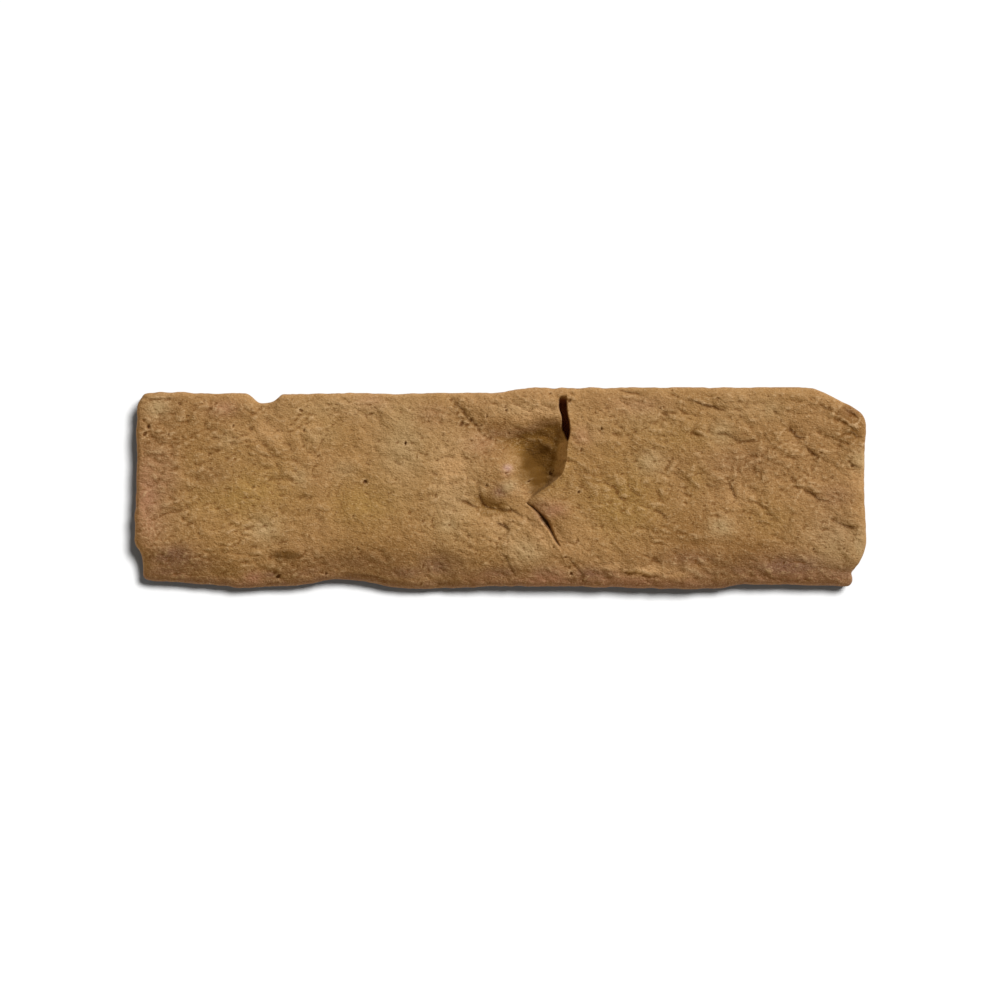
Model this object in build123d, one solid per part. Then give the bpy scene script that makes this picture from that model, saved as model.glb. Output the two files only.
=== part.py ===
from build123d import *
import os

# Hand-moulded terracotta brick tile, one fired piece of clay, lying on its flat back.
# X runs along the course, Y up the wall and Z out of it. The origin is under the middle of
# the tile, on the bonding face. All sizes are in millimetres.

# Overall size of the tile
LENGTH = 250.0
HEIGHT = 69.0
THICKNESS = 20.0

# Notch that a pebble left in the top edge, from the left end
NOTCH_FROM_LEFT = 44.6
NOTCH_MOUTH = 12.0
NOTCH_FLOOR = 5.4
NOTCH_DEPTH = 2.8

# The top edge is lower on the left, and climbs to its full height at the step
STEP_FROM_RIGHT = 113.0
STEP_RUN = 14.0
TOP_SAG = 1.8

# Worn upper right corner: how far it eats along the top and down the end, and the brow and
# the shoulder that it runs over, as distances in from the end and below the top
WORN_ALONG = 22.0
WORN_DOWN = 13.4
WORN_BROW = (11.8, 3.2)
WORN_SHOULDER = (4.5, 6.8)

# Toe at the lower right corner, with its blunt nose, and the slope above it where clay broke
# away. Its foot is a distance in from the end and above the bottom
TOE_HEIGHT = 5.6
TOE_SETBACK = 5.0
TOE_NOSE = 0.8
TOE_BREAK = 11.0
TOE_FOOT = (6.0, 0.8)

# Rounded upper left corner: how far it eats along the top and down the end
CORNER_ALONG = 5.0
CORNER_DOWN = 8.5

# Lower left corner, bruised back from the end, and the round below the bruise
BRUISE_SETBACK = 2.8
BRUISE_HEIGHT = 7.0
BRUISE_TOP = 16.5
BRUISE_FOOT = (4.8, 3.0)

# Shallow bay in the bottom edge and the heel that the edge rises from towards the left, both
# from the left end, and the step near the right end
HEEL_FROM_LEFT = 36.5
BAY_FROM_LEFT = 69.0
BAY_WIDTH = 42.0
BAY_DEPTH = 3.0
BOTTOM_STEP_FROM_RIGHT = 46.5
BOTTOM_STEP_RUN = 9.0
BOTTOM_STEP_RISE = 1.5

# Dips of the two ends, as inset and distance below the top, and the inset of the left one
# where its upper corner starts
LEFT_WAIST = (0.9, 29.0)
LEFT_SHOULDER = 0.4
RIGHT_WAIST = (0.5, 38.0)

# The face rolls over into the edges: width across the face and drop below it
TOP_ROLL = (5.0, 2.2)
BOTTOM_ROLL = (4.0, 3.6)
LEFT_ROLL = (3.0, 1.6)
RIGHT_ROLL = (7.0, 2.4)
FACE_CROWN = 1.2

# Wavy bevel where the face breaks away along the bottom: share of the length from the left end
# and height above the bottom of each bend, its fall for each millimetre, and its reach
BEVEL_LINE = [
    (0.0, 15.4), (0.14, 12.6), (0.23, 12.0), (0.29, 14.2), (0.42, 13.6), (0.5, 8.2), (0.58, 6.8),
    (0.75, 5.6), (0.79, 10.2), (1.0, 10.8),
]
BEVEL_FALL = 0.55
BEVEL_REACH = 22.0

# Fold in the clay: its corner is at the foot of the slit
FOLD_FROM_RIGHT = 102.6
FOLD_BELOW_TOP = 17.7
SLIT_LENGTH = 15.0
SLIT_WIDTH = 2.5
SLIT_LEAN = 2.6
SLIT_DEPTH = 9.6

# Pocket beside the slit, as offsets from the fold's corner: the lip on its right curves down to
# the head of the crack, the lobe above it slopes down from the tip, and a bank slopes down to it
# from the left, between the tip and the heel. Falls are for each millimetre
POCKET_DEPTH = 4.9
LIP = [(-1.2, -7.2), (-4.9, -14.0)]
CRACK_HEAD = (-13.0, -21.8)
POCKET_TIP = (-27.9, 4.9)
POCKET_HEEL = (-18.3, -10.6)
LOBE_UP_SLIT = 7.0
LOBE_FALL = 0.75
BANK_FALL = 0.54

# Round bowl in the pocket's floor
BOWL_AT = (-8.1, -7.5)
BOWL_RADIUS = 7.2
BOWL_DEPTH = 7.2

# Crack that runs on from the pocket, pointed at both ends
CRACK_TAIL = (-1.6, -37.2)
CRACK_WIDTH = 1.5
CRACK_BOW = 1.0
CRACK_DEPTH = 5.0

# Thumb-sized hollow to the lower left of the pocket
HOLLOW_AT = (-24.4, -20.4)
HOLLOW_RADIUS = 5.6
HOLLOW_DEPTH = 1.8

# How far a cutting solid reaches past the surface that it trims
BLEED = 3.0


def from_top_left(along, drop):
    """Point at a distance in from the left end and below the top."""
    return (along - LENGTH / 2, HEIGHT / 2 - drop)


def from_top_right(along, drop):
    """Point at a distance in from the right end and below the top."""
    return (LENGTH / 2 - along, HEIGHT / 2 - drop)


def from_bottom_left(along, rise):
    """Point at a distance in from the left end and above the bottom."""
    return (along - LENGTH / 2, rise - HEIGHT / 2)


def from_bottom_right(along, rise):
    """Point at a distance in from the right end and above the bottom."""
    return (LENGTH / 2 - along, rise - HEIGHT / 2)


def in_fold(offset):
    """Point of the face at an offset from the fold's deepest corner."""
    return Vector(*from_top_right(FOLD_FROM_RIGHT, FOLD_BELOW_TOP)) + Vector(offset)


def top_edge():
    """Left end to right end: plain run, notch, sagging run, step, straight run."""
    mouth_from = NOTCH_FROM_LEFT - NOTCH_MOUTH / 2
    mouth_to = NOTCH_FROM_LEFT + NOTCH_MOUTH / 2
    floor_from = NOTCH_FROM_LEFT - NOTCH_FLOOR / 2
    floor_to = NOTCH_FROM_LEFT + NOTCH_FLOOR / 2
    floor_drop = TOP_SAG + NOTCH_DEPTH
    start = from_top_left(CORNER_ALONG, TOP_SAG)
    rim = from_top_left(mouth_from, TOP_SAG)
    far_rim = from_top_left(mouth_to, TOP_SAG)
    step_foot = from_top_right(STEP_FROM_RIGHT + STEP_RUN, TOP_SAG)
    step_head = from_top_right(STEP_FROM_RIGHT, 0)
    floor = [from_top_left(along, floor_drop) for along in (floor_from, floor_to)]
    notch = Polyline(rim, *floor, far_rim)
    step = Spline(step_foot, step_head, tangents=[(1, 0), (1, 0)])
    run = Line(step_head, from_top_right(WORN_ALONG, 0))
    return [Line(start, rim), notch, Line(far_rim, step_foot), step, run]


def right_end():
    """Top to bottom: worn corner, dipping end, break and toe."""
    worn_from = from_top_right(WORN_ALONG, 0)
    worn_to = from_top_right(0, WORN_DOWN)
    worn_over = [from_top_right(*WORN_BROW), from_top_right(*WORN_SHOULDER)]
    break_head = from_bottom_right(0, TOE_HEIGHT + TOE_BREAK)
    toe_head = from_bottom_right(TOE_SETBACK, TOE_HEIGHT)
    nose = from_bottom_right(TOE_SETBACK - TOE_NOSE, (TOE_HEIGHT + TOE_FOOT[1]) / 2)
    worn = Spline(worn_from, *worn_over, worn_to, tangents=[(1, 0), (0, -1)])
    end = Spline(worn_to, from_top_right(*RIGHT_WAIST), break_head, tangents=[(0, -1), (0, -1)])
    break_face = Spline(break_head, toe_head, tangents=[(0, -1), (-1, -1)])
    return [worn, end, break_face, ThreePointArc(toe_head, nose, from_bottom_right(*TOE_FOOT))]


def bottom_edge():
    """Right end to left end: raised run, step, straight run, bay, heel and rising run."""
    toe_foot = from_bottom_right(*TOE_FOOT)
    step_from = from_bottom_right(BOTTOM_STEP_FROM_RIGHT - BOTTOM_STEP_RUN / 2, BOTTOM_STEP_RISE)
    step_to = from_bottom_right(BOTTOM_STEP_FROM_RIGHT + BOTTOM_STEP_RUN / 2, 0)
    bay_from = from_bottom_left(BAY_FROM_LEFT + BAY_WIDTH / 2, 0)
    bay_top = from_bottom_left(BAY_FROM_LEFT, BAY_DEPTH)
    bay_to = from_bottom_left(BAY_FROM_LEFT - BAY_WIDTH / 2, 0)
    heel = from_bottom_left(HEEL_FROM_LEFT, 0)
    rise = Line(heel, from_bottom_left(*BRUISE_FOOT))
    step = Spline(step_from, step_to, tangents=[(-1, 0), (-1, 0)])
    bay = Spline(bay_from, bay_top, bay_to, tangents=[(-1, 0), (-1, 0)])
    runs = [Line(toe_foot, step_from), Line(step_to, bay_from), Line(bay_to, heel), rise]
    return [step, bay] + runs


def left_end():
    """Bottom to top: round, bruise, dipping end and rounded corner."""
    bruise = from_bottom_left(BRUISE_SETBACK, BRUISE_HEIGHT)
    sound = from_bottom_left(0, BRUISE_TOP)
    shoulder = from_top_left(LEFT_SHOULDER, CORNER_DOWN)
    foot = Spline(from_bottom_left(*BRUISE_FOOT), bruise, tangents=[(-1, 0), (0, 1)])
    bruised = Spline(bruise, sound, tangents=[(0, 1), (0, 1)])
    end = Spline(sound, from_top_left(*LEFT_WAIST), shoulder, tangents=[(0, 1), (0, 1)])
    corner = Spline(shoulder, from_top_left(CORNER_ALONG, TOP_SAG), tangents=[(0, 1), (1, 0)])
    return [foot, bruised, end, corner]


def outline():
    """Moulded outline of the tile, seen square on to its face."""
    return make_face(top_edge() + right_end() + bottom_edge() + left_end())


def rolled_section(extent, low_roll, high_roll):
    """Section of the tile with its crowned face, rolled down towards both edges."""
    half = extent / 2
    shoulder = THICKNESS - FACE_CROWN
    low = -half + low_roll[0]
    high = half - high_roll[0]
    face = ThreePointArc((low, shoulder), ((low + high) / 2, THICKNESS), (high, shoulder))
    low_arc = TangentArc((low, shoulder), (-half, shoulder - low_roll[1]), tangent=(-1, 0))
    high_arc = TangentArc((high, shoulder), (half, shoulder - high_roll[1]), tangent=(1, 0))
    low_end = low_arc @ 1 + (low_arc % 1) * BLEED
    high_end = high_arc @ 1 + (high_arc % 1) * BLEED
    under = Polyline(low_end, (low_end.X, -BLEED), (high_end.X, -BLEED), high_end)
    flanks = [Line(low_arc @ 1, low_end), Line(high_arc @ 1, high_end)]
    return make_face([face, low_arc, high_arc, under] + flanks)


def moulded_block():
    """Outline, cross section and long section, each extruded and all intersected."""
    slab = extrude(outline(), THICKNESS)
    across = extrude(Plane.YZ * rolled_section(HEIGHT, BOTTOM_ROLL, TOP_ROLL), LENGTH, both=True)
    along = extrude(Plane.XZ * rolled_section(LENGTH, LEFT_ROLL, RIGHT_ROLL), HEIGHT, both=True)
    return slab & across & along


def bevel_section(share, rise):
    """Wedge over the bevel at one of its bends."""
    low = rise - HEIGHT / 2 - BEVEL_REACH
    level = THICKNESS - FACE_CROWN
    head = (rise - HEIGHT / 2 + BLEED / BEVEL_FALL, level + BLEED)
    foot = (low, level - BEVEL_REACH * BEVEL_FALL)
    wedge = make_face(Polyline(head, foot, (low, level + BLEED), close=True))
    bend = Vector((share - 0.5) * (LENGTH + 2 * BLEED))
    return Plane(bend, x_dir=(0, 1, 0), z_dir=(1, 0, 0)) * wedge


def bevel():
    """Clay that is missing over the bevel, in straight runs from bend to bend."""
    return loft([bevel_section(*bend) for bend in BEVEL_LINE], ruled=True)


def up_slit(distance):
    """Point at a distance up the leaning slit from its foot."""
    return in_fold(Vector(0, distance).rotate(Axis.Z, SLIT_LEAN))


def falling_plane(start, end, fall):
    """Plane through a line across the face, which falls away to the left of the line."""
    run = (end - start).normalized()
    down = run.rotate(Axis.Z, 90) - Vector(0, 0, fall)
    return Plane(start + Vector(0, 0, THICKNESS), x_dir=run, z_dir=run.cross(down))


def pocket():
    """Flat-floored hollow under the lip, between the sloping lobe and the bank on the left."""
    corner = in_fold((0, 0))
    head = in_fold(CRACK_HEAD)
    tip = in_fold(POCKET_TIP)
    lobe_end = up_slit(LOBE_UP_SLIT)
    lip = Spline(corner, *[in_fold(p) for p in LIP], head)
    plan = make_face([lip, Polyline(head, tip, lobe_end, corner)])
    prism = Pos(0, 0, THICKNESS - POCKET_DEPTH) * extrude(plan, POCKET_DEPTH + BLEED)
    lobe = falling_plane(lobe_end, tip, LOBE_FALL)
    bank = falling_plane(tip, in_fold(POCKET_HEEL), BANK_FALL)
    return split(split(prism, bisect_by=bank, keep=Keep.TOP), bisect_by=lobe, keep=Keep.TOP)


def slit():
    """Deep slot with round ends that leans a little to the left."""
    plan = Rot(0, 0, 90 + SLIT_LEAN) * SlotOverall(SLIT_LENGTH, SLIT_WIDTH)
    middle = up_slit(SLIT_LENGTH / 2 - SLIT_WIDTH / 2)
    return Pos(middle + Vector(0, 0, THICKNESS - SLIT_DEPTH)) * extrude(plan, SLIT_DEPTH + BLEED)


def crack():
    """Lens between two arcs, from the pocket's lower corner downwards."""
    head = in_fold(CRACK_HEAD)
    tail = in_fold(CRACK_TAIL)
    chord = tail - head
    side = Vector(-chord.Y, chord.X).normalized()
    middle = (head + tail) / 2 + side * CRACK_BOW
    walls = [ThreePointArc(head, middle + side * (CRACK_WIDTH / 2 * way), tail) for way in (1, -1)]
    return Pos(0, 0, THICKNESS - CRACK_DEPTH) * extrude(make_face(walls), CRACK_DEPTH + BLEED)


def dent(place, radius, depth):
    """Ball that presses a round dent into the face."""
    ball = (radius**2 + depth**2) / (2 * depth)
    return Pos(in_fold(place) + Vector(0, 0, THICKNESS - depth + ball)) * Sphere(ball)


def brick_tile():
    """The whole tile, centred over the origin with its back on the ground plane."""
    bowl = dent(BOWL_AT, BOWL_RADIUS, BOWL_DEPTH)
    hollow = dent(HOLLOW_AT, HOLLOW_RADIUS, HOLLOW_DEPTH)
    tile = moulded_block() - bevel() - pocket() - bowl - slit() - crack() - hollow
    middle = tile.bounding_box().center()
    return Pos(-middle.X, -middle.Y, 0) * tile


os.makedirs("parts", exist_ok=True)
tile = brick_tile()
export_step(tile, "parts/brick_tile.step")
print("brick_tile", tile.bounding_box().size, "volume", round(tile.volume))
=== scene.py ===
"""Hand-moulded terracotta brick tile on a white floor, dressed around its CAD solid.

Shapes are worked out in millimetres, with x along the tile, y up its face and z out of it,
and turned into metres when the mesh is made. Places on the face are given in pixels of the
photograph, which looks straight down on the face.
"""

import math

import bpy
import numpy as np
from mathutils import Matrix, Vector
from mathutils.bvhtree import BVHTree


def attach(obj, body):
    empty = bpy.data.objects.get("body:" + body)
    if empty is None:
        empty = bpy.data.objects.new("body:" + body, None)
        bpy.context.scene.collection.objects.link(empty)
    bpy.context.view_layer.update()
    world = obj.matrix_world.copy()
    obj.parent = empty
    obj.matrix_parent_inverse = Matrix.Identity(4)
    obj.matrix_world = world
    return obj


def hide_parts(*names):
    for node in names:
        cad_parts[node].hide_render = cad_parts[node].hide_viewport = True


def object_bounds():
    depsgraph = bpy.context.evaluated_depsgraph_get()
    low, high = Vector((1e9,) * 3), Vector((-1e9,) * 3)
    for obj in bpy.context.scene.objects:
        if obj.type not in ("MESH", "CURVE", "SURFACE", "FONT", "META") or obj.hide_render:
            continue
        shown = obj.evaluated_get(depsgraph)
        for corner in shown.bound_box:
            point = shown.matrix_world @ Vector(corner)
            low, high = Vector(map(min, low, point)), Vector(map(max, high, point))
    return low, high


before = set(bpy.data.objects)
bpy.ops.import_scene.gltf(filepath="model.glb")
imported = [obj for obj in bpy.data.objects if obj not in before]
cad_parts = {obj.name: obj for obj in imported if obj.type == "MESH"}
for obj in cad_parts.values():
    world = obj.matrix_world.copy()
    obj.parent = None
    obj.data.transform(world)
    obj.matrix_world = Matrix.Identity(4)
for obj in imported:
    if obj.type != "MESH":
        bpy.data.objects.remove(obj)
cad_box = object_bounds()

TILE = "brick_tile"
MILLIMETRE = 0.001
THICKNESS = cad_box[1].z / MILLIMETRE

# The photograph: tile millimetres to a pixel, the pixel over the tile's middle, and its frame
MM_PER_PIXEL = 0.341
MIDDLE_PIXEL = (500.0, 488.25)
PICTURE_SIDE = 1000

# Mesh: columns along the face, rows up it, and rows down the edges
COLUMNS = 530
ROWS = 140
WALL_ROWS = 16

# How much closer the columns lie at the fold and at the ends, and the rows at the top and bottom:
# gain, and reach as a share of the way
FOLD_CLOSER, END_CLOSER, RIM_CLOSER = (0.9, 0.075), (1.4, 0.008), (1.6, 0.02)

# Seeds of the noises that have no list of their own
SEEDS = {
    "bend x": 35, "bend y": 36, "dash": 45, "crease": 61, "crease breaks": 62, "tuck": 63,
    "tuck breaks": 64, "slit": 65, "streak": 66, "tint": 67, "plate": 71, "pit x": 83, "pit y": 84,
    "flake": 92,
}

# Rough edges: their inset below the face's rim and how soon it is full, the inset at the foot and
# where it starts, dents (cells along and down, depth and seed), and how far down the rim's stains
# run. These places are shares of the way down.
WALL_INSET, WALL_SHOULDER = 0.35, 0.3
WALL_FOOT, WALL_FOOT_FROM = 0.7, 0.9
WALL_DENTS = [(9.0, 5.0, 0.4, 51), (3.2, 1.5, 0.28, 52), (1.5, 0.9, 0.16, 53)]
WALL_STAIN = (-0.1, 0.6)

# Where the CAD outline is read, above the back, how far in from each end its corners are, and how
# far out the rays start
OUTLINE_LEVEL = 8.0
CORNER_INSETS = {"upper left": 1.9, "upper right": 4.2, "lower left": 3.4, "lower right": 4.6}
FAR_OUT = 400.0

# Ragged outline: cell and depth of each layer of bites, lift before them, and corner rounding
RAGGED = [(7.0, 0.3, 11), (2.4, 0.26, 12), (1.1, 0.16, 13)]
RAGGED_LIFT = 0.2
CORNER_SOFTNESS = 3

# Larger bites out of the outline: place, reach along the edge and depth in millimetres
EDGE_BITES = [
    (264, 402, 2.6, 1.0), (133, 393, 3, 1.2), (136, 410, 5, 0.7), (300, 392, 10, 0.6),
    (395, 392, 12, 0.4), (134, 555, 3, 1.0), (210, 585, 6, 0.4), (272, 589, 9, 0.9), (372, 587, 7, 0.9),
    (485, 589, 14, 0.5), (540, 590, 14, 0.9), (600, 590, 12, 0.5), (780, 585, 8, 0.3),
]

# Crown of the face, room left under the CAD box for the relief, and the rolls into the edges and
# their rounded rim: width and depth
FACE_CROWN = 0.4
RELIEF_ROOM = 1.2
TOP_ROLL = (5.0, 1.8)
BOTTOM_ROLL = (3.0, 1.2)
LEFT_ROLL = (4.0, 1.4)
RIGHT_ROLL = (6.0, 2.0)
EDGE_ROUND = (1.1, 1.3)

# Bevel along the bottom: the wavy line where the face breaks away, its slope and softness
BEVEL_LINE = [
    (120, 543), (180, 546), (235, 554), (275, 550), (300, 556), (345, 546), (400, 550), (440, 545),
    (470, 557), (500, 565), (555, 570), (620, 568), (685, 574), (712, 556), (760, 562), (805, 560),
    (850, 556), (880, 552),
]
BEVEL_SLOPE, BEVEL_SOFTNESS = 0.46, 2.2

# Undulation of the moulded clay: cells along and across, direction, height and seed
UNDULATION = [(28.0, 22.0, 0, 0.44, 21), (11.0, 8.5, -12, 0.28, 22)]

# Calm rim: where the relief starts and is full, in from the edge, and the shares of the
# undulation, the flakes and the lumps that are left there
RIM_CALM = (-0.5, 3.0)
UNDULATION_LEFT, PLATES_LEFT, LUMPS_LEFT = 0.3, 0.4, 0.6

# Lumps of rough clay with sharp furrows between them: cells along and across, height and seed,
# their lie and strength, which change between two places from left to right, the level that is
# taken off them, and how they wander
LUMPS = [(4.6, 3.5, 0.19, 31), (2.3, 1.9, 0.085, 32), (1.3, 1.0, 0.05, 33)]
LUMP_LIE = (0.0, -20.0)
LUMP_TURN = (-75.0, -20.0)
LUMP_GAIN = (1.3, 0.95)
LUMP_LEVEL = 0.8
BEND_CELL, BEND = 6.0, 1.6

# Flakes with level treads and short risers: cells along and across, how much of the noise is
# one rise, the share of it that the riser takes, the height of a riser, and finer layers of noise
PLATE_CELLS = (7.5, 5.0)
PLATE_LAYERS = [(2.6, 2.2, 0, 0.35, 72), (1.2, 1.1, 0, 0.12, 73)]
PLATE_RISE, PLATE_EDGE, PLATE_HEIGHT = 0.6, 0.28, 0.24

# Where the flakes stand out: place, half sizes along and up, and strength, and the least elsewhere
ROUGH = [
    (770, 470, 110, 75, 1.0), (640, 480, 70, 70, 0.9), (330, 408, 150, 24, 0.8),
    (470, 460, 50, 70, 0.7), (160, 432, 40, 22, 0.7), (300, 450, 60, 25, 0.5), (540, 405, 50, 18, 0.6),
    (320, 565, 60, 18, 0.6), (520, 540, 60, 40, 0.6), (848, 428, 26, 34, 1.4),
]
ROUGH_LEAST = 0.2

# Dashes pressed into the clay by sand: cells along and across, what is left out, and depth
DASH_CELLS = (1.7, 0.62)
DASH_FLOOR, DASH_DEPTH = 0.22, 0.2

# Small flakes strewn over the face: how many tries, length, step and edge width, how far their
# lie strays in degrees, seed, reach above and below, bow, and share of the creases' wander
FLAKES, FLAKE_LENGTHS, FLAKE_STEPS = 420, (2.0, 6.0), (0.1, 0.36)
FLAKE_EDGE, FLAKE_STRAY, FLAKE_SEED = 0.7, 18.0, 91
FLAKE_ABOVE, FLAKE_BELOW, FLAKE_BOW, FLAKE_WANDER = 2.0, 1.5, 0.6, 0.6

# Shares of a flake's step that lift its edge and dip the clay below it
STEP_LIFT, STEP_DIP = 0.45, 0.55

# Grain of the sanded surface that the mesh can hold
GRAIN = [(0.8, 0.7, 0, 0.045, 41)]

# The fold: its line runs down the slit, along the pocket's lip and down the crack, and the mesh
# follows it within a reach to its left and right
FOLD_LINE = [
    (567, 380), (567, 392), (567, 398), (567.3, 404), (567.5, 410), (568.5, 416), (570, 422),
    (570.5, 430), (570, 436), (568.5, 441), (567.4, 447.5), (567, 455), (566, 462), (564, 470),
    (561, 476), (555, 481), (549, 486), (543, 489.5), (536, 494.5), (530, 499.5), (526.5, 502.7),
    (533, 508), (539.5, 514), (545, 521.5), (550, 530), (554, 538), (559.5, 547), (563, 556),
    (565, 600),
]
FOLD_REACH = (45.0, 40.0)

# Width of the slit at some pixel rows, how it wanders, its depth, the pixel rows over which it
# deepens, and how soft its left and right edges are
SLIT_WIDTHS = [
    (394.5, 0), (396.5, 2.2), (399, 3.2), (405, 3.1), (410, 2.9), (416, 2.8), (422, 2.9), (430, 2.7),
    (436, 2.0), (440, 0.9), (441.5, 0),
]
SLIT_WANDER = (1.6, 0.22)
SLIT_DEPTH = 8.0
SLIT_HEAD = (394, 407)
SLIT_EDGES = (0.9, 0.5)

# Reach of the curved wall under the lip at some pixel rows
LIP_WALLS = [(455, 4.0), (470, 3.2), (484, 1.6), (500, 0.9)]

# Streaks across the clay that slid under the lobe: place and size, cells and height
STREAKED_CLAY = [(528, 440, 30, 15, 1.0)]
STREAK_CELLS, STREAK_HEIGHT = (5.0, 0.8), 0.28

# Painted shade of the pocket, darker where the clay lies deeper: the depths where each tint starts
# and is full, and its strength, where they stop short of the lip, and how they and the patches stray
POCKET_SHADES = {"shade": (0.3, 3.0, 0.9), "umber_shade": (3.4, 6.4, 0.6)}
TINT_WALL = (2.2, 5.0)
TINT_CELLS, TINT_STRAY, PATCH_STRAY = (3.0, 0.8), 0.9, 0.2

# Crack: its half width at some pixel rows, its depth for each millimetre of that, the least half
# width of its walls, the shoulder that rolls down into it on the right, and the lip on its left
CRACK_WIDTHS = [
    (501, 0), (503, 0.28), (508, 0.34), (513, 0.42), (517, 0.62), (521, 0.78), (526, 0.66),
    (530, 0.46), (536, 0.36), (543, 0.36), (549, 0.1), (551, 0),
]
CRACK_STEEPNESS, CRACK_LEAST = 4.5, 0.1
SHOULDER_REACH, SHOULDER_DROP = 6.5, 1.6
LIP_REACH, LIP_LIFT = 1.4, 0.35

# Depth of the clay to the left of the fold line, in millimetres below the face
FOLD_DEPTHS = [
    # Level ring round the fold
    (425, 405, 0), (432, 430, 0), (438, 455, 0), (446, 478, 0), (455, 512, 0), (478, 535, 0),
    (515, 545, 0), (545, 556, 0), (440, 396, 0),
    # Raised lobe
    (462, 396, -0.1), (480, 398, -0.3), (500, 401, -0.5), (525, 402, -0.7), (550, 402, -0.5),
    (480, 410, -0.3), (505, 411, -0.6), (530, 411, -0.6), (553, 411, -0.3),
    # Furrow along the lobe's foot
    (456, 403, 0.2), (463, 413, 0.3), (470, 421, 0.4), (477, 428, 0.5), (484, 436, 0.7),
    (452, 408, 0), (458, 418, 0), (465, 427, 0), (472, 433, 0), (480, 441, 0.1),
    # Brow, where the lobe turns down
    (487, 421, 0.1), (503, 421, -0.2), (520, 421, -0.2), (540, 417, -0.1), (556, 418, 0.2),
    (505, 426, 0.2), (522, 426, 0.3), (492, 430, 0.5), (506, 430, 0.8), (522, 430, 1.2),
    (540, 428, 2.1), (556, 428, 2.5),
    # Pocket, row by row from the top
    (492, 438, 0.9), (506, 439, 1.9), (520, 439, 3.0), (535, 439, 3.9), (550, 439, 4.3),
    (561, 439, 4.6), (490, 446, 0.3), (500, 446, 0.9), (509, 447, 2.0), (518, 447, 3.4),
    (528, 447, 4.6), (540, 447, 5.2), (552, 447, 5.0), (562, 447, 4.8),
    (497, 454, 0.2), (507, 455, 0.8), (515, 455, 1.4), (521, 455, 2.6), (526, 455, 5.2),
    (535, 455, 6.8), (546, 455, 6.4), (558, 455, 5.2),
    (503, 462, 0), (512, 463, 0.4), (519, 463, 1.0), (525, 463, 2.6), (530, 463, 5.8),
    (538, 463, 7.2), (548, 463, 6.4), (558, 463, 5.2),
    (508, 470, -0.2), (516, 471, 0.1), (523, 471, 0.8), (529, 471, 2.2), (535, 471, 5.2),
    (542, 471, 6.6), (551, 471, 5.8), (559, 471, 4.8),
    (513, 479, -0.1), (521, 479, 0.2), (527, 479, 0.9), (533, 479, 2.8), (540, 479, 5.0),
    (548, 479, 5.0), (555, 478, 4.2),
    (517, 487, -0.2), (524, 487, 0.2), (530, 487, 1.4), (536, 487, 3.0), (542, 486, 4.0),
    (548, 484, 4.4), (520, 495, -0.2), (526, 495, 0.3), (532, 495, 1.8), (537, 492, 2.8),
    (523, 501, 0),
    # Ridge and hollow below the pocket
    (512, 482, -0.4), (497, 479, -0.5), (482, 480, 0), (514, 491, -0.2), (500, 489, -0.2),
    (488, 490, 0.2), (512, 501, 0.1), (500, 499, 0.3), (492, 499, 0.4), (485, 499, 0.8),
    (485, 505, 1.6), (496, 507, 1.3), (507, 508, 0.7), (478, 499, 0.8), (479, 507, 1.2),
    (489, 513, 1.0), (500, 514, 0.6), (474, 510, 0.5), (483, 518, 0.5), (508, 518, 0.3), (527, 521, 0.1),
    # Level clay below the hollow
    (450, 487, 0), (464, 487, 0.1), (468, 500, 0.3), (470, 520, 0),
    (497, 524, 0), (520, 530, 0), (538, 530, 0), (535, 519, -0.1), (548, 543, 0),
]

# Where the sculpted clay fades out: middle and half sizes in pixels, and the shares of them
FOLD_MIDDLE, FOLD_SPREAD, FOLD_FADE = (505, 462), (85, 95), (0.8, 1.0)

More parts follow.
